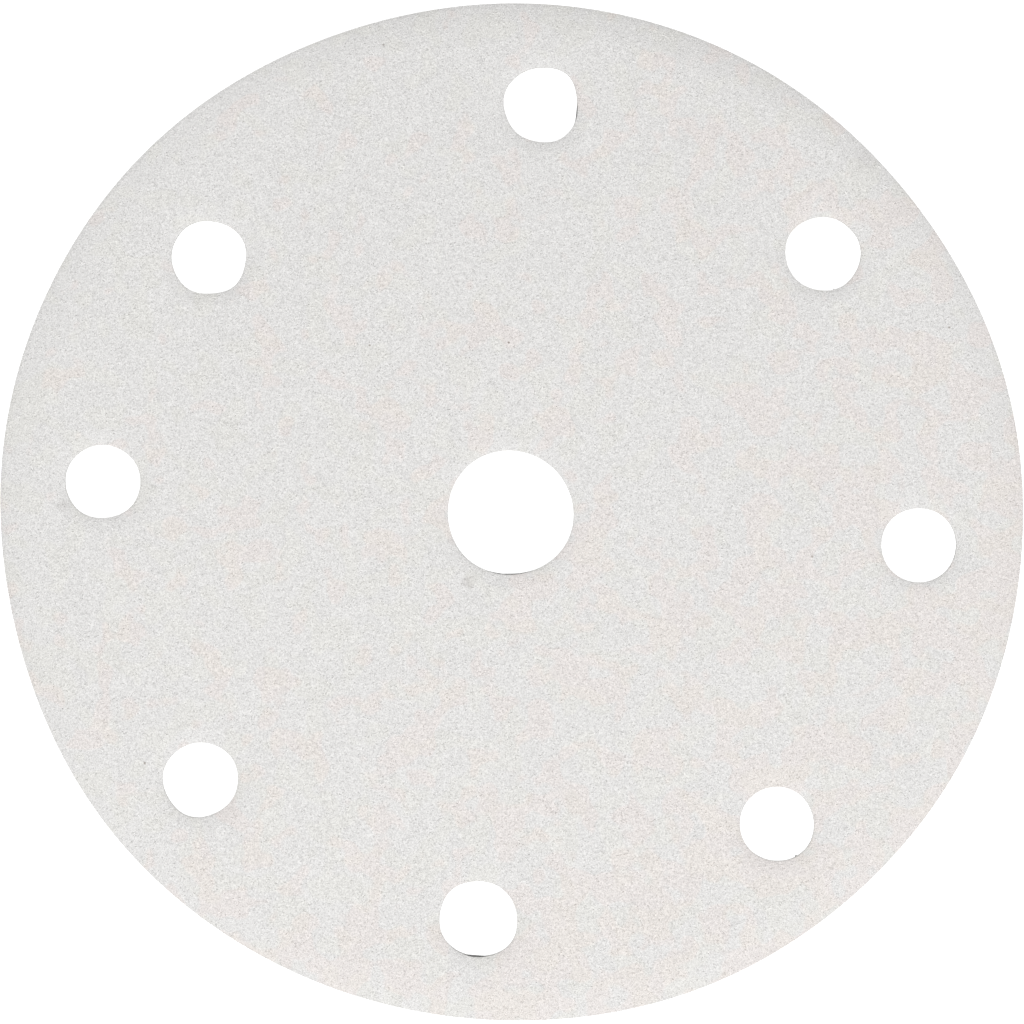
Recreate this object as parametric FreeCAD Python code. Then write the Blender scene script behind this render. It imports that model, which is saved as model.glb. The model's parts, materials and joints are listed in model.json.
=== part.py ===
import FreeCAD, Part
import math
import os

# Hook and loop sanding disc, lying flat on its loops with the grain face up.
# Millimetres, +Z up. The origin is the middle of the loop face, and +Y is the top of the view.

disc_diameter = 150.0
fabric_thickness = 1.2  # knitted loop fabric, loops standing free
paper_thickness = 0.5  # paper with its bonded coat of grain

# The loops stand in wales, the knit's lengthwise ribs, with a furrow between each two.
wale_pitch = 2.6
furrow_mouth = 0.9
furrow_depth = 0.35

# The die squeezes the sheet wherever it cuts, so each edge rolls over towards the loops.
rim_roll_width = 5.5
rim_roll_drop = 0.75
hole_roll_width = 2.6
hole_roll_drop = 0.4

centre_hole_diameter = 18.3
dust_hole_diameter = 10.9
dust_circle_diameter = 120.0
dust_hole_count = 8
first_hole_angle = 85.6  # degrees anticlockwise from +X, for the hole nearest the top

# Two punches landed off their places: one far to the left, one by about a millimetre.
stray_hole = 1
stray_hole_inset = 2.0
stray_hole_turn = 9.1
slipped_hole = 7
slipped_hole_inset = 0.45
slipped_hole_turn = -0.9

UP = FreeCAD.Vector(0, 0, 1)
CENTRE = FreeCAD.Vector(0, 0, 0)


def dust_hole_centres():
    """The middle of each dust hole, numbered anticlockwise from the one nearest the top."""
    insets = {stray_hole: stray_hole_inset, slipped_hole: slipped_hole_inset}
    turns = {stray_hole: stray_hole_turn, slipped_hole: slipped_hole_turn}
    centres = []
    for hole in range(dust_hole_count):
        reach = dust_circle_diameter / 2 - insets.get(hole, 0)
        angle = math.radians(
            first_hole_angle + 360 / dust_hole_count * hole + turns.get(hole, 0)
        )
        centres.append(FreeCAD.Vector(reach * math.cos(angle), reach * math.sin(angle), 0))
    return centres


def straight_edge(r_flat, r_cut, z_flat, drop):
    """Section line from the flat of a face to its cut edge, which is lower by drop."""
    return Part.LineSegment(
        FreeCAD.Vector(r_flat, 0, z_flat), FreeCAD.Vector(r_cut, 0, z_flat - drop)
    ).toShape()


def level_edge(r_flat, r_cut, z_flat, drop):
    """The same for the loop face, which stays level: the drop comes out of its pile."""
    return straight_edge(r_flat, r_cut, z_flat, 0)


def rolled_edge(r_flat, r_cut, z_flat, drop):
    """The same for the grain face, as an arc that leaves the flat level."""
    run = abs(r_cut - r_flat)
    radius = (run**2 + drop**2) / (2 * drop)
    half_turn = math.asin(run / radius) / 2
    r_middle = r_flat + math.copysign(radius * math.sin(half_turn), r_cut - r_flat)
    z_middle = z_flat - radius * (1 - math.cos(half_turn))
    return Part.Arc(
        FreeCAD.Vector(r_flat, 0, z_flat),
        FreeCAD.Vector(r_middle, 0, z_middle),
        FreeCAD.Vector(r_cut, 0, z_flat - drop),
    ).toShape()


def edge_band(under, face):
    """Ring of sheet between a cut edge and the flat of the disc: its section turned about Z."""
    walls = [
        Part.LineSegment(face.Vertexes[end].Point, under.Vertexes[end].Point).toShape()
        for end in (0, -1)
    ]
    outline = Part.Wire(Part.__sortEdges__([face, under, *walls]))
    return Part.Face(outline).revolve(CENTRE, UP, 360)


def layer(z_under, z_face, under_edge, face_edge):
    """A flat plate joined to a band of falling sheet at the rim and round each hole."""
    base = FreeCAD.Vector(0, 0, z_under)
    rim = disc_diameter / 2
    rim_flat = rim - rim_roll_width
    plate = Part.makeCylinder(rim_flat, z_face - z_under, base)
    cuts = [(CENTRE, rim_flat, rim, rim_roll_drop)]
    holes = [(CENTRE, centre_hole_diameter / 2)]
    holes += [(centre, dust_hole_diameter / 2) for centre in dust_hole_centres()]
    for centre, radius in holes:
        hole_flat = radius + hole_roll_width
        plate = plate.cut(Part.makeCylinder(hole_flat, z_face - z_under, base + centre))
        cuts.append((centre, hole_flat, radius, hole_roll_drop))
    bands = []
    for centre, r_flat, r_cut, drop in cuts:
        under = under_edge(r_flat, r_cut, z_under, drop)
        face = face_edge(r_flat, r_cut, z_face, drop)
        band = edge_band(under, face)
        band.translate(centre)
        bands.append(band)
    return plate.fuse(bands).removeSplitter()


def furrows():
    """Channels along Y in the loop face, one between each two wales."""
    rim = disc_diameter / 2
    section = [
        (-furrow_mouth / 2, 0),
        (0, furrow_depth),
        (furrow_mouth / 2, 0),
        (-furrow_mouth / 2, 0),
    ]
    channels = []
    for pair in range(math.floor((rim - furrow_mouth) / wale_pitch + 0.5)):
        for side in (-1, 1):
            place = side * (pair + 0.5) * wale_pitch
            outline = [FreeCAD.Vector(place + x, -rim, z) for x, z in section]
            channel = Part.Face(Part.makePolygon(outline))
            channels.append(channel.extrude(FreeCAD.Vector(0, disc_diameter, 0)))
    return channels


def loop_fabric():
    return layer(0, fabric_thickness, level_edge, straight_edge).cut(furrows())


def abrasive_paper():
    return layer(
        fabric_thickness, fabric_thickness + paper_thickness, straight_edge, rolled_edge
    )


os.makedirs("parts", exist_ok=True)
for name, piece in (("loop_fabric", loop_fabric()), ("abrasive_paper", abrasive_paper())):
    (solid,) = piece.Solids
    solid.exportStep(f"parts/{name}.step")
    print(name, round(solid.Volume), "mm3", "valid" if solid.isValid() else "NOT VALID")
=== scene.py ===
import bmesh
import bpy
import json
import math
import numpy as np
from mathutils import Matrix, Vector

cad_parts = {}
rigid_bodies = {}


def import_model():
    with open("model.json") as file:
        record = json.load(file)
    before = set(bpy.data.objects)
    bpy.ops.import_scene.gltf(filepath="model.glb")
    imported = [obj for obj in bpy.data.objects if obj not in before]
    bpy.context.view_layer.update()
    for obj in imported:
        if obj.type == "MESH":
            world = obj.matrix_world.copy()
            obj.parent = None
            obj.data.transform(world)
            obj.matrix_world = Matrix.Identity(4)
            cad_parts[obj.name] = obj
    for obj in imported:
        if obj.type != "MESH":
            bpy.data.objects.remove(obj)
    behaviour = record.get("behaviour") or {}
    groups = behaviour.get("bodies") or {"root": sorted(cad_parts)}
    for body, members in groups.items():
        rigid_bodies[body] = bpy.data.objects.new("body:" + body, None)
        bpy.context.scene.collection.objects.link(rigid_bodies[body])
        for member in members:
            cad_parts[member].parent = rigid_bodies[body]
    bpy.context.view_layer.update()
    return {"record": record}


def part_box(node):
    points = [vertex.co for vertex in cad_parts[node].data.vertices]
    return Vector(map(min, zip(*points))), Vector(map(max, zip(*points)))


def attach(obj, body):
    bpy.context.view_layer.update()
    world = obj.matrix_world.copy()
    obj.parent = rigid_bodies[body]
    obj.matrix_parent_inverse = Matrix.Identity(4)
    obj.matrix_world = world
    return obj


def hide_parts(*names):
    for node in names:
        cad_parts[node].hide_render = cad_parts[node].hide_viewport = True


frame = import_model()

# Hook and loop sanding disc, grain side up. Lengths are in metres: a number times mm is in millimetres.
mm = 0.001
hair = 0.001 * mm  # points nearer than this are one

disc = {
    "radius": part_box("abrasive_paper")[1].x,
    "face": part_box("abrasive_paper")[1].z,
    "fabricTop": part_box("loop_fabric")[1].z,
    "grainRise": 0.07 * mm,  # how far the coat between the grains lies under the grain face
    "cornerRound": 0.05 * mm,
    "cornerSteps": 2,
    "rimRoll": 5.5 * mm,  # width and fall of the rolled edges that the die leaves
    "rimDrop": 0.75 * mm,
    "holeRoll": 2.6 * mm,
    "holeDrop": 0.4 * mm,
    "rimCorners": 288,
    "holeCorners": 96,
    "rollSteps": 7,
    "crownRest": 0.06 * mm,  # the pile's crowns flatten below this, on what the disc lies on
    "crownSquash": 0.2,  # what hangs lower shrinks to this share
    "crease": 35,  # degrees: edges sharper than this are shaded sharp
}

# The die cut a slightly oval, uneven outline: how many lobes go round it, how many millimetres high they are,
# and the bearing of one of them in degrees.
outline = [
    (1, 0.07, -81), (2, 0.335, -54), (3, 0.05, -132), (4, 0.137, -148), (5, 0.137, 27), (7, 0.049, 140),
    (9, 0.05, 124),
]
outlineReach = disc["radius"] / 4  # how far in from the rim that is felt

# How unevenly the die pressed the rim: the same, as shares of rimDrop.
rimPress = [(0, 0.87, 0), (1, 0.16, 13), (2, 0.11, 160), (3, 0.15, 186), (4, 0.13, 0)]

# Three punches left a stretch of their wall leaning in, which shows from above:
# where it is in degrees, how far in it leans at the loop side, and how narrow it is.
leaningWall = {
    "centre_hole": (-91, 0.18 * mm, 18),
    "dust_hole_1": (-12, 0.24 * mm, 30),
    "dust_hole_5": (-97, 0.31 * mm, 18),
}
leanReach = 2.5 * mm

# How each punch's cut strayed from its circle: lobes as in outline, where 0 is a wider cut
# and 1 a shifted one.
punches = {
    "centre_hole": [(0, 0.03, 0), (1, 0.20, -149), (2, 0.08, -40), (3, 0.07, -42), (4, 0.03, -150)],
    "dust_hole_1": [
        (0, 0.11, 0), (1, 0.19, 166), (2, 0.08, -166), (3, 0.14, 168), (4, 0.09, -156), (6, 0.04, -68)],
    "dust_hole_2": [
        (0, -0.04, 0), (1, 0.23, -124), (2, 0.05, 19), (4, 0.07, 152), (5, 0.05, 127), (6, 0.03, 27)],
    "dust_hole_3": [
        (0, -0.02, 0), (1, 0.20, -133), (2, 0.06, 7), (3, 0.03, -54), (4, 0.02, -152), (5, 0.03, 110)],
    "dust_hole_4": [
        (0, 0.02, 0), (1, 0.23, -111), (2, 0.05, 66), (3, 0.05, 74), (4, 0.04, -58), (5, 0.04, 164)],
    "dust_hole_5": [
        (0, 0.28, 0), (1, 0.26, -175), (2, 0.07, -60), (3, 0.03, -114), (4, 0.06, 180), (5, 0.03, -94),
        (6, 0.03, 106)],
    "dust_hole_6": [(0, -0.05, 0), (1, 0.21, -129), (3, 0.03, -122), (4, 0.02, -175)],
    "dust_hole_7": [(1, 0.26, -104), (2, 0.02, 49), (3, 0.03, 121), (4, 0.02, 174)],
    "dust_hole_8": [(0, 0.07, 0), (1, 0.06, -119), (2, 0.07, -7), (3, 0.03, 99), (5, 0.04, 44)],
}
punchReach = 3.5 * mm

holes = [
    {"name": mount["name"], "x": mount["pos_m"][0], "y": mount["pos_m"][1], "cut": mount["dims"]["r_mm"] * mm}
    for mount in frame["record"]["mounts"]
    if mount["kind"] == "bore"
]


class Wire:
    # an output of a node tree, with Python's operators for its maths
    def __init__(self, tree, socket=None):
        self.tree = tree
        self.socket = socket

    def node(self, kind, settings=None, sockets=None, out=0):
        made = self.tree.nodes.new(kind)
        for key, value in (settings or {}).items():
            setattr(made, key, value)
        for key, value in (sockets or {}).items():
            if isinstance(value, Wire):
                self.tree.links.new(value.socket, made.inputs[key])
            else:
                made.inputs[key].default_value = value
        return Wire(self.tree, made.outputs[out] if len(made.outputs) else None)

    def other(self, out):
        return Wire(self.tree, self.socket.node.outputs[out])

    def maths(self, operation, *values, clamp=False):
        settings = {"operation": operation, "use_clamp": clamp}
        return self.node("ShaderNodeMath", settings, dict(enumerate(values)))

    def __add__(self, value):
        return self.maths("ADD", self, value)

    def __radd__(self, value):
        return self.maths("ADD", value, self)

    def __sub__(self, value):
        return self.maths("SUBTRACT", self, value)

    def __rsub__(self, value):
        return self.maths("SUBTRACT", value, self)

    def __mul__(self, value):
        return self.maths("MULTIPLY", self, value)

    def __rmul__(self, value):
        return self.maths("MULTIPLY", value, self)

    def __truediv__(self, value):
        return self.maths("DIVIDE", self, value)

    def __rtruediv__(self, value):
        return self.maths("DIVIDE", value, self)

    def above(self, low, high):
        # 0 under low, 1 over high, even between them
        return self.maths("MULTIPLY_ADD", self, 1 / (high - low), -low / (high - low), clamp=True)

    def swing(self, amount):
        # half the amount either way, as this value goes from 0 to 1
        return (self - 0.5) * amount

    def toAndFro(self, width):
        # up to width and down again, over and over
        return self.maths("PINGPONG", self, width)

    def blend(self, first, second, way="MIX"):
        # two colours, the node's sockets 6 and 7, mixed by this value
        settings = {"data_type": "RGBA", "blend_type": way, "clamp_factor": True}
        return self.node("ShaderNodeMix", settings, {0: self, 6: first, 7: second}, 2)

    def noise(self, size, detail, distortion=0):
        return self.node("ShaderNodeTexNoise", {}, {
            "Vector": self, "Scale": 1 / size, "Detail": detail, "Distortion": distortion})

    def distance(self, spot):
        return self.node("ShaderNodeVectorMath", {"operation": "DISTANCE"}, {0: self, 1: spot}, "Value")

    def alongX(self):
        return self.node("ShaderNodeSeparateXYZ", {}, {0: self}, "X")

    def bump(self, strength, depth):
        return self.node("ShaderNodeBump", {}, {"Strength": strength, "Distance": depth, "Height": self})

    def drawVector(self, middle, stray, seed):
        # a random vector, at most stray from middle
        low = tuple(m - s for m, s in zip(middle, stray))
        high = tuple(m + s for m, s in zip(middle, stray))
        return self.node("FunctionNodeRandomValue", {"data_type": "FLOAT_VECTOR"}, {
            0: low, 1: high, "Seed": seed})


def newMaterial(name):
    material = bpy.data.materials.new(name)
    material.use_nodes = True
    material.node_tree.nodes.clear()
    return material, Wire(material.node_tree)


def finishMaterial(wire, sockets):
    shader = wire.node("ShaderNodeBsdfPrincipled", {}, sockets)
    wire.node("ShaderNodeOutputMaterial", {}, {"Surface": shader})


# Shapes


def chooseOnly(piece):
    bpy.ops.object.select_all(action="DESELECT")
    piece.select_set(True)
    bpy.context.view_layer.objects.active = piece


def nameIt(piece, name):
    piece.name = name
    piece.data.name = name


def editEdges(piece, wanted):
    # picks the edges that wanted says yes to
    net = bmesh.from_edit_mesh(piece.data)
    for edge in net.edges:
        edge.select = False
    for edge in net.edges:
        if wanted(edge):
            edge.select = True
    bmesh.update_edit_mesh(piece.data)


def cutSheet(name, under, face):
    # the disc's outline and holes filled flat, a band of rings at each cut edge, then its thickness
    rings = [(0, 0, disc["radius"] - disc["rimRoll"], disc["radius"], disc["rimCorners"])]
    for hole in holes:
        rings.append((hole["x"], hole["y"], hole["cut"] + disc["holeRoll"], hole["cut"], disc["holeCorners"]))
    bpy.ops.object.select_all(action="DESELECT")
    for number, (x, y, flat, cut, corners) in enumerate(rings):
        bpy.ops.mesh.primitive_circle_add(vertices=corners, radius=flat, location=(x, y, face))
        if number == 0:  # the other circles join this one in edit mode
            sheet = bpy.context.object
            bpy.ops.object.transform_apply(location=True)
            bpy.ops.object.mode_set(mode="EDIT")
            bpy.ops.mesh.select_mode(type="EDGE")
    bpy.ops.mesh.select_all(action="SELECT")
    bpy.ops.mesh.fill()
    bpy.ops.mesh.beautify_fill()
    near = 0.02 * mm
    for x, y, flat, cut, corners in rings:
        editEdges(sheet, lambda edge: edge.is_boundary and all(
            abs(math.hypot(end.co.x - x, end.co.y - y) - flat) < near for end in edge.verts))
        before = flat
        for step in range(disc["rollSteps"]):
            after = flat + (cut - flat) * (step + 1) / disc["rollSteps"]
            bpy.ops.mesh.extrude_edges_move()
            bpy.ops.transform.resize(value=(after / before, after / before, 1), center_override=(x, y, face))
            before = after
    bpy.ops.mesh.select_all(action="SELECT")
    bpy.ops.mesh.extrude_region_move(TRANSFORM_OT_translate={"value": (0, 0, under - face)})
    bpy.ops.mesh.select_all(action="SELECT")
    bpy.ops.mesh.remove_doubles(threshold=hair)
    bpy.ops.mesh.normals_make_consistent(inside=False)
    bpy.ops.object.mode_set(mode="OBJECT")
    nameIt(sheet, name)
    return sheet


def roundCutEdge(sheet, face):
    # takes the sharpness off the upper edge of every cut
    steep = 0.5
    chooseOnly(sheet)
    bpy.ops.object.mode_set(mode="EDIT")
    bpy.ops.mesh.select_mode(type="EDGE")
    editEdges(sheet, lambda edge: all(abs(end.co.z - face) < hair for end in edge.verts) and any(
        abs(side.normal.z) < steep for side in edge.link_faces))
    bpy.ops.mesh.bevel(offset=disc["cornerRound"], segments=disc["cornerSteps"], affect="EDGES")
    bpy.ops.object.mode_set(mode="OBJECT")


def lobed(angle, lobes):
    return sum(height * np.cos(count * angle - math.radians(turn)) for count, height, turn in lobes)


def nearCut(inside, width):
    # 1 at a cut edge and 0 from width inside it
    return np.clip(1 - inside / width, 0, 1)


def fall(x, y):
    # how far the rolled edges lie below the flat of the disc at each place
    pressed = lobed(np.arctan2(y, x), rimPress)
    drop = disc["rimDrop"] * nearCut(disc["radius"] - np.hypot(x, y), disc["rimRoll"])**2 * pressed
    for hole in holes:
        inside = np.hypot(x - hole["x"], y - hole["y"]) - hole["cut"]
        drop = np.maximum(drop, disc["holeDrop"] * nearCut(inside, disc["holeRoll"])**2)
    return drop


def settle(piece):
    # what cutting did to the flat laminate: rolled edges, leaning punches and an uneven outline
    places = np.empty(len(piece.data.vertices) * 3)
    piece.data.vertices.foreach_get("co", places)
    x, y, z = places.reshape(-1, 3).T.copy()
    deep = np.clip(1 - z / disc["face"], 0, 1)
    rest = disc["crownRest"]
    z = np.where(z < rest, rest + (z - rest) * disc["crownSquash"], z)
    newZ = z - fall(x, y) * np.clip(z / disc["fabricTop"], 0, 1)
    newX = x.copy()
    newY = y.copy()
    for hole in holes:
        offX, offY = x - hole["x"], y - hole["y"]
        away, angle = np.hypot(offX, offY), np.arctan2(offY, offX)
        out = lobed(angle, punches[hole["name"]]) * mm
        out *= nearCut(away - hole["cut"], punchReach) / np.maximum(away, mm)
        newX += offX * out
        newY += offY * out
        if hole["name"] in leaningWall:
            bearing, lean, narrow = leaningWall[hole["name"]]
            turn = math.radians(bearing)
            share = nearCut(away - hole["cut"], leanReach) * deep
            share *= np.maximum(np.cos(angle - turn), 0) ** narrow
            newX -= math.cos(turn) * lean * share
            newY -= math.sin(turn) * lean * share
    reach = np.hypot(x, y)
    out = lobed(np.arctan2(y, x), outline) * mm
    out *= nearCut(disc["radius"] - reach, outlineReach) / np.maximum(reach, mm)
    newX += x * out
    newY += y * out
    piece.data.vertices.foreach_set("co", np.stack([newX, newY, newZ], 1).ravel())
    piece.data.update()


def putInOrder(piece):
    # edit mode leaves another order each time, so here all goes by its distance from a far corner
    chooseOnly(piece)
    bpy.context.scene.cursor.location = (3 * disc["radius"], 2 * disc["radius"], disc["radius"])
    bpy.ops.object.mode_set(mode="EDIT")
    bpy.ops.mesh.select_all(action="SELECT")
    bpy.ops.mesh.sort_elements(type="CURSOR_DISTANCE", elements={"VERT", "EDGE", "FACE"})
    bpy.ops.object.mode_set(mode="OBJECT")


# Coat, grain and paper

coat = {
    "pale": (0.950, 0.940, 0.928, 1),
    "deep": (0.632, 0.625, 0.617, 1),
    "blush": (1.022, 0.983, 0.972, 1),  # faint clouds in the white, pinkish and yellowish
    "straw": (1.002, 1.002, 0.982, 1),
    # painted shade in the hollows between the grains
    "shadedPit": (0.50, 0.48, 0.46, 1),
    # the colour of the small dark grains, and of the broad patches of painted shade
    "darkGrainAndShade": (0.20, 0.15, 0.12, 1),
    "cell": 0.36 * mm,
    "fine": (0.155 * mm, 2),  # size and detail of the mottling, as of the clouds below it
    "cloud": (6 * mm, 3),
    "warmCloud": (4.2 * mm, 1),
    "evenTone": 0.485,  # how pale the white is, from deep to pale, and how far each pattern moves that
    "cellTone": 0.2,
    "fineTone": 2.7,
    "cloudTone": 0.06,
    "blushFrom": (0.535, 0.595),
    "strawFrom": (0.51, 0.59),
    "blushDrift": 0.085,  # how much commoner the pinkish clouds grow towards the lower right
    "strawDrift": 0.04,  # and the yellowish ones towards the bottom
    "pitChance": (0.93, 0.97),
    "pitReach": (0.15, 0.5),
    "pitShadeTone": 0.2,
    "markSoftness": 0.4,
    "markDepth": 0.05 * mm,
    "relief": 0.11 * mm,
    "cellRelief": 0.6,
    "fineRelief": 0.5,
    "pitRelief": 0.4,
    "bump": 0.45,
    "grainBump": 0.2,
    "roughness": 0.62,
    "grainRoughness": 0.5,
    "roughnessSwing": 0.3,
    "steepest": 0.4,  # faces that look up less than this are cut paper
}

# Small dark grains in the white, then three broad faint patches of painted shade by the rim and beside two
# holes: place and radius in millimetres, and how dark.
darkGrainsAndShadePatches = [
    (-53.8, -36.8, 0.16, 0.7), (64.2, 27.1, 0.17, 0.6), (3.2, -9.9, 0.15, 0.7), (-0.4, 24.9, 0.15, 0.8),
    (-20.8, 24.5, 0.16, 0.6), (44.1, -6.5, 0.16, 0.6), (45.2, 58.3, 0.20, 0.7), (-18.8, 68.6, 0.16, 0.6),
    (65.4, -4.4, 0.20, 0.6), (-6.4, -10.2, 0.9, 0.17), (-65.7, 1.0, 0.8, 0.11), (52.1, 51.9, 1.3, 0.08),
]

cutEdge = {
    "pale": (0.80, 0.79, 0.76, 1),
    "deep": (0.58, 0.57, 0.54, 1),
    "fibre": (0.25 * mm, 4),
    "squeeze": (1, 1, 4),
    "contrast": (0.3, 0.7),
    "bump": 0.6,
    "relief": 0.08 * mm,
    "roughness": 0.8,
}

# painted shade on the walls that lean in: its dark grey, and how far it reaches
wallShade = {
    "colour": (0.15, 0.15, 0.145, 1),
    "reach": 1.6,  # how many of the hole's radii the painted shade reaches, over the root of how narrow the wall is
    "core": 0.6,  # the part of that where it covers all
}


def coatPattern(wire):
    # the white's tone from grain to grain, its fine mottling and faint clouds, hollows darkened with painted
    # shade, small dark grains, and broad patches of painted shade
    place = wire.node("ShaderNodeTexCoord", out="Object")
    cell = wire.node("ShaderNodeTexVoronoi", {}, {"Vector": place, "Scale": 1 / coat["cell"]}, "Distance")
    chance = wire.node("ShaderNodeSeparateColor", {}, {"Color": cell.other("Color")})
    fine = place.noise(*coat["fine"])
    cloud = place.noise(*coat["cloud"])
    tone = coat["evenTone"] + chance.swing(coat["cellTone"]) + fine.swing(coat["fineTone"])
    tone = tone + cloud.swing(coat["cloudTone"])
    colour = tone.blend(coat["deep"], coat["pale"])
    warm = place.noise(*coat["warmCloud"])
    tints = wire.node("ShaderNodeSeparateColor", {}, {"Color": warm.other("Color")})
    across = place.alongX()
    right = across * (1 / disc["radius"])
    down = across.other("Y") * (-1 / disc["radius"])
    blush = (tints + (right + down) * coat["blushDrift"]).above(*coat["blushFrom"])
    straw = (tints.other("Green") + down * coat["strawDrift"]).above(*coat["strawFrom"])
    colour = blush.blend(colour, coat["blush"], "MULTIPLY")
    colour = straw.blend(colour, coat["straw"], "MULTIPLY")
    # hollows between the grains: sunk by the bump and darkened with painted shade
    shadedPit = chance.other("Green").above(*coat["pitChance"]) * (1 - cell.above(*coat["pitReach"]))
    colour = (shadedPit * coat["pitShadeTone"]).blend(colour, coat["shadedPit"])
    soft = coat["markSoftness"]
    # small dark grains, and broad faint patches of painted shade by the rim and two holes
    for x, y, radius, dark in darkGrainsAndShadePatches:
        away = place.distance((x * mm, y * mm, disc["face"] - coat["markDepth"]))
        spot = 1 - away.above(radius * (1 - soft) * mm, radius * (1 + soft) * mm)
        colour = (spot * dark).blend(colour, coat["darkGrainAndShade"])
    height = (1 - cell) * coat["cellRelief"] + fine * coat["fineRelief"] - shadedPit * coat["pitRelief"]
    return colour, height, fine


def shadeLeaningWalls(place, colour):
    # painted shade: dark grey over the stretches of wall that lean in, which show from above as dark
    # crescents
    for hole in holes:
        if hole["name"] in leaningWall:
            bearing, lean, narrow = leaningWall[hole["name"]]
            turn = math.radians(bearing)
            spot = (
                hole["x"] + hole["cut"] * math.cos(turn), hole["y"] + hole["cut"] * math.sin(turn),
                disc["fabricTop"] / 2)
            reach = hole["cut"] * wallShade["reach"] / math.sqrt(narrow)
            shadedShare = 1 - place.distance(spot).above(reach * wallShade["core"], reach)
            colour = shadedShare.blend(colour, wallShade["colour"])
    return colour


def coatMaterial():
    material, wire = newMaterial("anti clog coat")
    colour, height, fine = coatPattern(wire)
    finishMaterial(wire, {
        "Base Color": colour, "Roughness": coat["roughness"] + fine.swing(coat["roughnessSwing"]),
        "Normal": height.bump(coat["bump"], coat["relief"])})
    return material


def grainMaterial():
    material, wire = newMaterial("white mineral grain")
    colour, height, fine = coatPattern(wire)
    finishMaterial(wire, {
        "Base Color": colour, "Roughness": coat["grainRoughness"] + fine.swing(coat["roughnessSwing"]),
        "Normal": fine.bump(coat["grainBump"], coat["relief"])})
    return material


def paperMaterial():
    # the cut edge: fibres lying along it
    material, wire = newMaterial("cut paper edge")
    place = wire.node("ShaderNodeTexCoord", out="Object")
    squeezed = wire.node("ShaderNodeMapping", {}, {"Vector": place, "Scale": cutEdge["squeeze"]})
    fibre = squeezed.noise(*cutEdge["fibre"])
    colour = fibre.above(*cutEdge["contrast"]).blend(cutEdge["deep"], cutEdge["pale"])
    # its base colour carries painted shade on the walls that lean in
    finishMaterial(wire, {
        "Base Color": shadeLeaningWalls(place, colour), "Roughness": cutEdge["roughness"],
        "Normal": fibre.bump(cutEdge["bump"], cutEdge["relief"])})
    return material


def coatedPaper():
    face = disc["face"] - disc["grainRise"]
    sheet = cutSheet("coated_paper", disc["fabricTop"], face)
    roundCutEdge(sheet, face)
    sheet.data.materials.append(coatMaterial())
    sheet.data.materials.append(paperMaterial())
    for side in sheet.data.polygons:
        side.material_index = 0 if side.normal.z > coat["steepest"] else 1
    return sheet


# Crushed grains, by size: across, rise above the coat, and how far apart they lie at least.
grit = {
    "coarse_grain": {"across": 0.52 * mm, "rise": 0.092 * mm, "apart": 0.46 * mm, "seed": 3},
    "middle_grain": {"across": 0.44 * mm, "rise": 0.083 * mm, "apart": 0.40 * mm, "seed": 11},
    "fine_grain": {"across": 0.36 * mm, "rise": 0.074 * mm, "apart": 0.34 * mm, "seed": 23},
}

# What the grains of every size share. Heights are shares of their rise, other lengths of their width.
crystal = {
    "perSquareMm": 1.28,
    "corners": (4, 4, 5, 4),  # one shape for each
    "height": 1.2,
    "middle": 0.4,  # where the middle of that height lies over the coat
    "crumple": 0.17,
    "evenCrumple": 0.4,
    "margin": 0.45,  # how far from a cut edge they stay
    "tilt": 0.16,  # radians
    "spread": 0.25,  # how much smaller or larger they get
}


def newGroup(name):
    group = bpy.data.collections.new(name)
    bpy.context.scene.collection.children.link(group)
    return group


def keepIn(group, shape):
    for old in list(shape.users_collection):
        old.objects.unlink(shape)
    group.objects.link(shape)


def newTree(name):
    tree = bpy.data.node_groups.new(name, "GeometryNodeTree")
    for way in ("INPUT", "OUTPUT"):
        tree.interface.new_socket("Geometry", in_out=way, socket_type="NodeSocketGeometry")
    return tree, Wire(tree)


def clearOfCuts(points, margin):
    # the points that lie further than margin from the rim and every hole
    across = points.node("GeometryNodeInputPosition").alongX()
    along = across.other("Y")
    reach = across * across + along * along
    lost = reach.maths("GREATER_THAN", reach, (disc["radius"] - margin) ** 2)
    for hole in holes:
        offX, offY = across - hole["x"], along - hole["y"]
        away = offX * offX + offY * offY
        lost = lost.maths("MAXIMUM", lost, away.maths("LESS_THAN", away, (hole["cut"] + margin) ** 2))
    return points.node("GeometryNodeDeleteGeometry", {"domain": "POINT"}, {
        "Geometry": points, "Selection": lost})


def standOn(points, group, turn, spread, seed):
    # the group's shapes on the points, picked at random and with their turns and sizes drawn at random
    last = len(group.objects) - 1
    turned = points.drawVector(*turn, seed + 1)
    sized = points.drawVector(*spread, seed + 2)
    pick = points.node("FunctionNodeRandomValue", {"data_type": "INT"}, {4: 0, 5: last, "Seed": seed + 3}, 2)
    shapes = points.node("GeometryNodeCollectionInfo", {}, {
        "Collection": group, "Separate Children": True, "Reset Children": True})
    stood = points.node("GeometryNodeInstanceOnPoints", {}, {
        "Points": points, "Instance": shapes, "Pick Instance": True, "Instance Index": pick,
        "Rotation": points.node("FunctionNodeEulerToRotation", {}, {0: turned}), "Scale": sized})
    real = points.node("GeometryNodeRealizeInstances", {}, {0: stood})
    points.node("NodeGroupOutput", {}, {0: real})


def growOn(name, size, height, tree, group, material):
    # a plane that its modifier turns into all the grains or loops of one piece
    bpy.ops.object.select_all(action="DESELECT")
    bpy.ops.mesh.primitive_plane_add(size=size, location=(0, 0, height))
    bpy.ops.object.transform_apply(location=True)
    piece = bpy.context.object
    nameIt(piece, name)
    modifier = piece.modifiers.new("growth", "NODES")
    modifier.node_group = tree
    bpy.ops.object.modifier_apply(modifier=modifier.name)
    for shape in list(group.objects):
        bpy.data.objects.remove(shape)
    bpy.data.collections.remove(group)
    piece.data.materials.clear()
    piece.data.materials.append(material)
    print(name, len(piece.data.polygons), "faces")
    return piece


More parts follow.
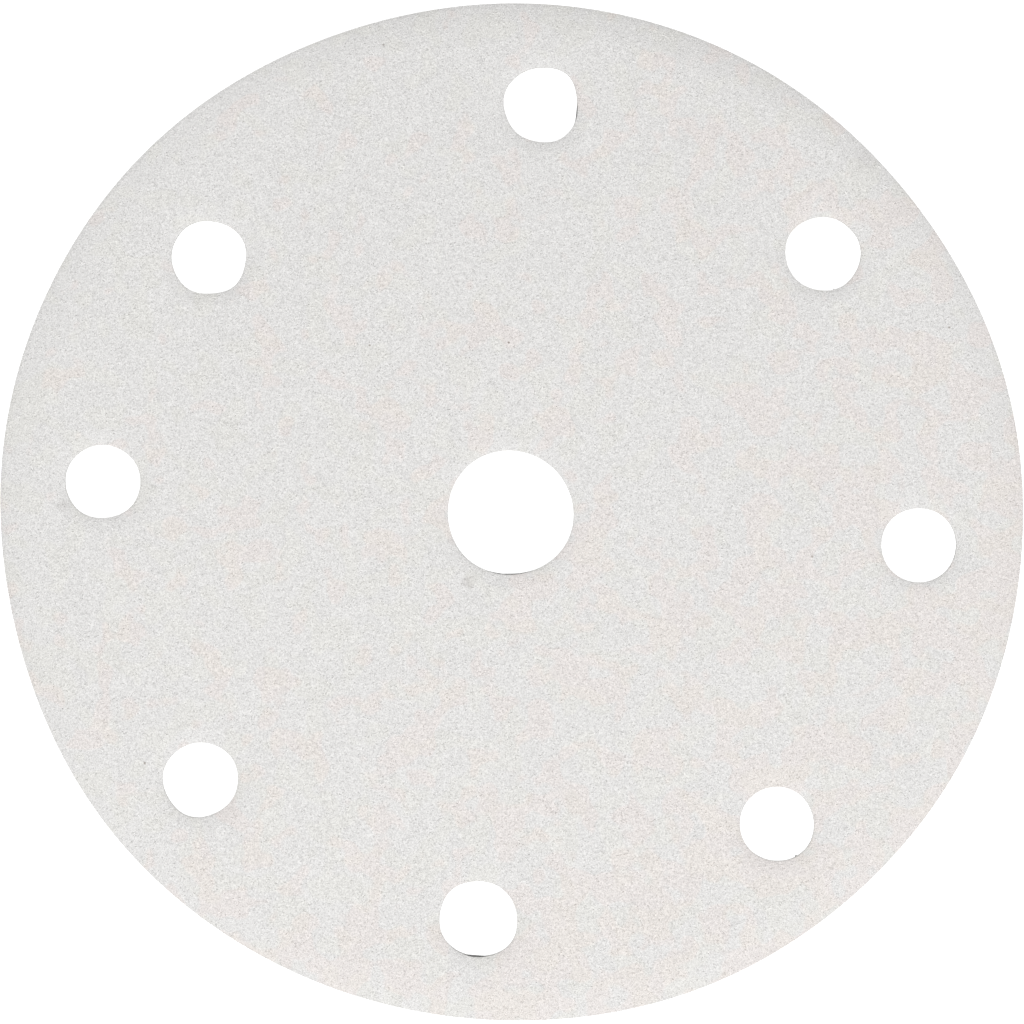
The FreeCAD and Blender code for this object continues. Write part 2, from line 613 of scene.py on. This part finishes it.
def grainShape(size, corners, number, material):
    # a broken crystal: a peak over a ring of corners, with a keel sunk in the coat
    bpy.ops.object.select_all(action="DESELECT")
    bpy.ops.mesh.primitive_cone_add(
        vertices=corners, radius1=size["across"] / 2, depth=size["rise"] * crystal["height"],
        end_fill_type="TRIFAN", location=(0, 0, size["rise"] * crystal["middle"]))
    shape = bpy.context.object
    bpy.ops.object.transform_apply(location=True)
    bpy.ops.object.mode_set(mode="EDIT")
    bpy.ops.mesh.select_mode(type="VERT")
    net = bmesh.from_edit_mesh(shape.data)
    for corner in net.verts:
        corner.select = corner.co.z < 0 and corner.co.xy.length < hair
    bmesh.update_edit_mesh(shape.data)
    bpy.ops.transform.translate(value=(0, 0, -size["rise"]))
    bpy.ops.mesh.select_all(action="SELECT")
    bpy.ops.transform.vertex_random(
        offset=size["across"] * crystal["crumple"], uniform=crystal["evenCrumple"], normal=0,
        seed=size["seed"] + number)
    bpy.ops.mesh.normals_make_consistent(inside=False)
    bpy.ops.object.mode_set(mode="OBJECT")
    shape.data.materials.append(material)
    return shape


def sow(name, size, material):
    # grains thrown at random on a plane level with the coat, and left where there is coat under them
    group = newGroup(name + "_shapes")
    for number, corners in enumerate(crystal["corners"]):
        keepIn(group, grainShape(size, corners, number, material))
    tree, wire = newTree(name + "_sowing")
    points = wire.node("GeometryNodeDistributePointsOnFaces", {"distribute_method": "POISSON"}, {
        "Mesh": wire.node("NodeGroupInput"), "Distance Min": size["apart"],
        "Density Max": crystal["perSquareMm"] / mm**2, "Seed": size["seed"]}, "Points")
    turn = ((0, 0, math.pi), (crystal["tilt"], crystal["tilt"], math.pi))
    spread = ((1, 1, 1), (crystal["spread"],) * 3)
    standOn(clearOfCuts(points, size["across"] * crystal["margin"]), group, turn, spread, size["seed"])
    return growOn(name, 2 * disc["radius"], disc["face"] - disc["grainRise"], tree, group, material)


# Loop fabric

knit = {
    "under": 0.78 * mm,
    "wale": 2.6 * mm,
    "ribWidth": 2.3 * mm,
    "ribFoot": 0.43 * mm,  # height of a rib's lowest line over the table
    "overlap": 0.02 * mm,  # of the ribs and the ground above them
    "ribCorners": 12,
    "ribSteps": 60,
    "ribEnds": 1 * mm,  # how far the ribs run past the rim before they are cut
    "dieFoot": 0.05 * mm,  # the ribs are cut from this height
    "dieTop": 0.1 * mm,  # to this far under the fabric's top
    "pale": (0.80, 0.80, 0.78, 1),
    "deep": (0.50, 0.50, 0.48, 1),
    "area": 0.01666,  # square metres, the disc less its holes
}

pile = {
    "row": 0.62 * mm,  # two rows of loops on each wale, this far either side of its middle
    "course": 1.18 * mm,
    "rowShift": 0.25,  # how far each row is moved along the wale, as a share of a course
    "height": 0.80 * mm,
    "width": 0.95 * mm,
    "arch": 0.8,  # the part of its half width that the arch adds to a loop's height
    "archSteps": 3,
    "yarn": 0.10 * mm,
    "yarnCorners": 3,
    "crumple": 0.05 * mm,
    "evenCrumple": 0.6,
    "kinds": 3,
    "root": 0.04 * mm,  # how deep the loops start in the ground
    "stray": (0.2 * mm, 0.35 * mm, 0.01 * mm),
    "lean": (0.25, 0.25, 0.6),  # radians about each axis, at random
    "sideLean": 0.2,  # and towards the middle of the wale
    "size": (1, 1, 0.895),
    "spread": (0.15, 0.2, 0.075),  # how much smaller or larger they get
    "margin": 0.5,  # how far from a cut edge they stay, as a share of their width
    "seed": 41,
}

# The stitches of the ground: a V of yarn each, in columns along the wales.
groundStitch = {
    "columns": 4,
    "length": 0.55 * mm,
    "slant": 0.7,
    "fuzz": (0.3 * mm, 4),
    "evenTone": 0.1,
    "strandTone": 0.55,
    "slantTone": 0.2,
    "fuzzTone": 0.6,
    "strandRelief": 0.7,
    "slantRelief": 0.3,
    "fuzzRelief": 0.25,
    "bump": 0.8,
    "relief": 0.15 * mm,
    "roughness": 0.78,
    "sheen": 0.25,
}

# The ribs: matted filaments over the stitches of each column.
ribStitch = {
    "length": 0.62 * mm,
    "slant": 1.6,
    "fuzz": (0.22 * mm, 5, 1.5),
    "evenTone": 0.35,
    "stitchTone": 0.35,
    "fuzzTone": 1.1,
    "stitchRelief": 0.6,
    "fuzzRelief": 0.7,
    "bump": 0.9,
    "relief": 0.12 * mm,
    "roughness": 0.85,
    "sheen": 0.3,
}

# The loops: fine filaments drawn out along a bright yarn.
yarnLook = {
    "pale": (0.89, 0.89, 0.87, 1),
    "deep": (0.70, 0.70, 0.68, 1),
    "drawn": (3, 3, 1),
    "strands": (0.2 * mm, 3),
    "contrast": (0.3, 0.7),
    "bump": 0.4,
    "relief": 0.03 * mm,
    "roughness": 0.42,
    "sheen": 0.3,
}


def knitMaterial():
    look = groundStitch
    material, wire = newMaterial("knitted ground")
    place = wire.node("ShaderNodeTexCoord", out="Object")
    spot = place.alongX()
    slant = (spot / (knit["wale"] / look["columns"])).toAndFro(1)
    strand = (spot.other("Y") / look["length"] + slant * look["slant"]).toAndFro(1)
    fuzz = place.noise(*look["fuzz"])
    tone = strand * look["strandTone"] + slant * look["slantTone"] + fuzz.swing(look["fuzzTone"])
    tone = tone + look["evenTone"]
    height = strand * look["strandRelief"] + slant * look["slantRelief"] + fuzz * look["fuzzRelief"]
    # its base colour carries painted shade on the walls that lean in
    finishMaterial(wire, {
        "Base Color": shadeLeaningWalls(place, tone.blend(knit["deep"], knit["pale"])),
        "Roughness": look["roughness"], "Sheen Weight": look["sheen"],
        "Normal": height.bump(look["bump"], look["relief"])})
    return material


def ribMaterial():
    look = ribStitch
    material, wire = newMaterial("brushed stitches")
    place = wire.node("ShaderNodeTexCoord", out="Object")
    spot = place.alongX()
    across = (spot / knit["wale"]).toAndFro(0.5)
    stitch = (spot.other("Y") / look["length"] - across * look["slant"]).toAndFro(1)
    fuzz = place.noise(*look["fuzz"])
    tone = stitch * look["stitchTone"] + fuzz.swing(look["fuzzTone"]) + look["evenTone"]
    height = stitch * look["stitchRelief"] + fuzz * look["fuzzRelief"]
    # its base colour carries painted shade on the walls that lean in
    finishMaterial(wire, {
        "Base Color": shadeLeaningWalls(place, tone.blend(knit["deep"], knit["pale"])),
        "Roughness": look["roughness"], "Sheen Weight": look["sheen"],
        "Normal": height.bump(look["bump"], look["relief"])})
    return material


def yarnMaterial():
    look = yarnLook
    material, wire = newMaterial("loop yarn")
    place = wire.node("ShaderNodeTexCoord", out="Object")
    drawn = wire.node("ShaderNodeMapping", {}, {"Vector": place, "Scale": look["drawn"]})
    strands = drawn.noise(*look["strands"])
    finishMaterial(wire, {
        "Base Color": strands.above(*look["contrast"]).blend(look["deep"], look["pale"]),
        "Roughness": look["roughness"], "Sheen Weight": look["sheen"],
        "Normal": strands.bump(look["bump"], look["relief"])})
    return material


def knittedGround():
    sheet = cutSheet("knitted_ground", knit["under"], disc["fabricTop"])
    sheet.data.materials.append(knitMaterial())
    return sheet


def waleRibs():
    # the stitch columns that the loops stand on: one half round bar, repeated, then cut out with the disc
    half = knit["ribWidth"] / 2
    top = knit["under"] + knit["overlap"]
    count = math.floor(disc["radius"] / knit["wale"])
    end = disc["radius"] + knit["ribEnds"]
    bpy.ops.object.select_all(action="DESELECT")
    bpy.ops.mesh.primitive_circle_add(
        vertices=knit["ribCorners"], radius=half, fill_type="NGON", rotation=(math.pi / 2, 0, 0),
        location=(-count * knit["wale"], -end, 0))
    ribs = bpy.context.object
    nameIt(ribs, "wale_ribs")
    bpy.ops.object.transform_apply(location=True, rotation=True)
    bpy.ops.object.mode_set(mode="EDIT")
    bpy.ops.mesh.select_mode(type="FACE")
    bpy.ops.mesh.select_all(action="SELECT")
    bpy.ops.mesh.bisect(plane_co=(0, 0, 0), plane_no=(0, 0, 1), clear_outer=True, use_fill=False)
    bpy.ops.mesh.select_all(action="SELECT")
    bpy.ops.transform.resize(value=(1, 1, (top - knit["ribFoot"]) / half), center_override=(0, 0, 0))
    bpy.ops.transform.translate(value=(0, 0, top))
    for step in range(knit["ribSteps"]):
        bpy.ops.mesh.extrude_region_move(TRANSFORM_OT_translate={"value": (0, 2 * end / knit["ribSteps"], 0)})
    bpy.ops.mesh.select_all(action="SELECT")
    bpy.ops.mesh.normals_make_consistent(inside=False)
    bpy.ops.object.mode_set(mode="OBJECT")
    row = ribs.modifiers.new("row", "ARRAY")
    row.count = 2 * count + 1
    row.use_relative_offset = False
    row.use_constant_offset = True
    row.constant_offset_displace = (knit["wale"], 0, 0)
    bpy.ops.object.modifier_apply(modifier=row.name)
    die = cutSheet("die", knit["dieFoot"], disc["fabricTop"] - knit["dieTop"])
    putInOrder(die)
    putInOrder(ribs)
    trim = ribs.modifiers.new("trim", "BOOLEAN")
    trim.operation = "INTERSECT"
    trim.solver = "EXACT"
    trim.object = die
    bpy.ops.object.modifier_apply(modifier=trim.name)
    bpy.data.objects.remove(die)
    ribs.data.materials.clear()
    ribs.data.materials.append(ribMaterial())
    print("wale ribs", len(ribs.data.polygons), "faces")
    return ribs


def yarnLoop(number, material):
    # a three sided yarn, drawn down out of the ground, round in a half ring and up again
    half = pile["width"] / 2
    leg = pile["height"] - half * pile["arch"]
    bpy.ops.object.select_all(action="DESELECT")
    bpy.ops.mesh.primitive_circle_add(
        vertices=pile["yarnCorners"], radius=pile["yarn"], fill_type="NGON", location=(0, half, 0))
    loop = bpy.context.object
    bpy.ops.object.transform_apply(location=True)
    bpy.ops.object.mode_set(mode="EDIT")
    bpy.ops.mesh.select_mode(type="FACE")
    bpy.ops.mesh.select_all(action="SELECT")
    bpy.ops.mesh.extrude_region_move(TRANSFORM_OT_translate={"value": (0, 0, -leg)})
    bpy.ops.mesh.spin(steps=pile["archSteps"], angle=math.pi, center=(0, 0, -leg), axis=(1, 0, 0))
    bpy.ops.mesh.extrude_region_move(TRANSFORM_OT_translate={"value": (0, 0, leg)})
    bpy.ops.mesh.select_all(action="SELECT")
    bpy.ops.mesh.normals_make_consistent(inside=False)
    bpy.ops.transform.vertex_random(
        offset=pile["crumple"], uniform=pile["evenCrumple"], seed=pile["seed"] + number)
    bpy.ops.object.mode_set(mode="OBJECT")
    loop.data.materials.append(material)
    return loop


def pileRows(name, side, material):
    # loops knitted in a row along each wale, each a little out of its place
    group = newGroup(name + "_shapes")
    for number in range(pile["kinds"]):
        keepIn(group, yarnLoop(number, material))
    tree, wire = newTree(name + "_knitting")
    seed = pile["seed"] + 10 * (side + 2)  # each side draws its own
    wales = math.floor(disc["radius"] / knit["wale"]) * 2 + 1
    courses = math.floor(disc["radius"] / pile["course"]) * 2 + 1
    grid = wire.node("GeometryNodeMeshGrid", {}, {
        "Size X": (wales - 1) * knit["wale"], "Size Y": (courses - 1) * pile["course"],
        "Vertices X": wales, "Vertices Y": courses}, "Mesh")
    middle = (side * pile["row"], side * pile["course"] * pile["rowShift"], knit["under"] + pile["root"])
    points = wire.node("GeometryNodeSetPosition", {}, {
        "Geometry": grid, "Offset": wire.drawVector(middle, pile["stray"], seed)})
    turn = ((0, side * pile["sideLean"], 0), pile["lean"])
    spread = (pile["size"], pile["spread"])
    standOn(clearOfCuts(points, pile["width"] * pile["margin"]), group, turn, spread, seed)
    return growOn(name, knit["wale"], knit["under"], tree, group, material)


# Room

view = {
    "height": 900 * mm,  # lens above the grain face
    "width": 150.19 * mm,  # what the picture spans there
    "aside": 0.07 * mm,  # the disc lies this far left of the picture's middle
    "up": 0.04 * mm,  # and this far below it
    "sensor": 36,
}

light = {
    "reach": 1.2,
    "size": 0.8,
    "lean": 21,  # degrees off the vertical
    "bearing": -84,  # degrees anticlockwise from +X: it stands at the foot of the picture
    "power": 10.2,
    "fill": 0.375,  # what the room sends from every side
}

floorLook = {
    "size": 3.0,
    "colour": (0.8, 0.8, 0.8, 1),
    "roughness": 0.9,
    "glow": 0.86,  # keeps the lit floor white to the eye, and lets its shadows show faintly
}

white = (1, 1, 1, 1)


def seenRays(wire):
    # 1 for what the camera sees, also in metal or through glass, and 0 for light
    ray = wire.node("ShaderNodeLightPath", out="Is Camera Ray")
    seen = ray
    for kind in ("Is Glossy Ray", "Is Transmission Ray"):
        seen = seen.maths("MAXIMUM", seen, ray.other(kind))
    return seen


def makeCamera():
    bpy.ops.object.camera_add(
        location=(view["aside"], view["up"], disc["face"] + view["height"]), rotation=(0, 0, 0))
    camera = bpy.context.object
    camera.data.sensor_width = view["sensor"]
    camera.data.lens = view["sensor"] * view["height"] / view["width"]
    bpy.context.scene.camera = camera


def makeLight():
    lean, bearing = math.radians(light["lean"]), math.radians(light["bearing"])
    where = Vector((math.sin(lean) * math.cos(bearing), math.sin(lean) * math.sin(bearing), math.cos(lean)))
    bpy.ops.object.light_add(type="AREA", location=where * light["reach"])
    lamp = bpy.context.object
    lamp.data.shape = "SQUARE"
    lamp.data.size = light["size"]
    lamp.data.energy = light["power"]
    lamp.rotation_euler = where.to_track_quat("Z", "Y").to_euler()

    room = bpy.data.worlds.new("white room")
    bpy.context.scene.world = room
    room.use_nodes = True
    room.node_tree.nodes.clear()
    wire = Wire(room.node_tree)
    strength = seenRays(wire) * (1 - light["fill"]) + light["fill"]
    glow = wire.node("ShaderNodeBackground", {}, {"Color": white, "Strength": strength})
    wire.node("ShaderNodeOutputWorld", {}, {"Surface": glow})


def makeFloor():
    bpy.ops.mesh.primitive_plane_add(size=floorLook["size"])
    floor = bpy.context.object
    floor.name = "floor"
    material, wire = newMaterial("white floor")
    finishMaterial(wire, {
        "Base Color": floorLook["colour"], "Roughness": floorLook["roughness"], "Specular IOR Level": 0,
        "Emission Color": white, "Emission Strength": seenRays(wire) * floorLook["glow"]})
    floor.data.materials.append(material)


makeCamera()
makeLight()
makeFloor()
bpy.context.scene.view_settings.view_transform = "Standard"
print("room ready")

paper = coatedPaper()
print("coated paper", len(paper.data.polygons), "faces")
mineral = grainMaterial()
grains = [sow(name, size, mineral) for name, size in grit.items()]

ground = knittedGround()
print("knitted ground", len(ground.data.polygons), "faces")
ribs = waleRibs()
yarn = yarnMaterial()
piles = [pileRows(name, side, yarn) for name, side in (("left_loops", -1), ("right_loops", 1))]

sheets = [paper, ground, ribs]
pieces = [*sheets, *grains, *piles]
for piece in pieces:
    settle(piece)
    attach(piece, "root")
for piece in sheets:
    putInOrder(piece)
    bpy.ops.object.shade_smooth_by_angle(angle=math.radians(disc["crease"]))
for piece in piles:
    for side in piece.data.polygons:
        side.use_smooth = True
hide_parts("abrasive_paper")
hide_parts("loop_fabric")
for piece in pieces:
    print(piece.name, sum(len(side.vertices) - 2 for side in piece.data.polygons), "triangles")
print("pieces settled")
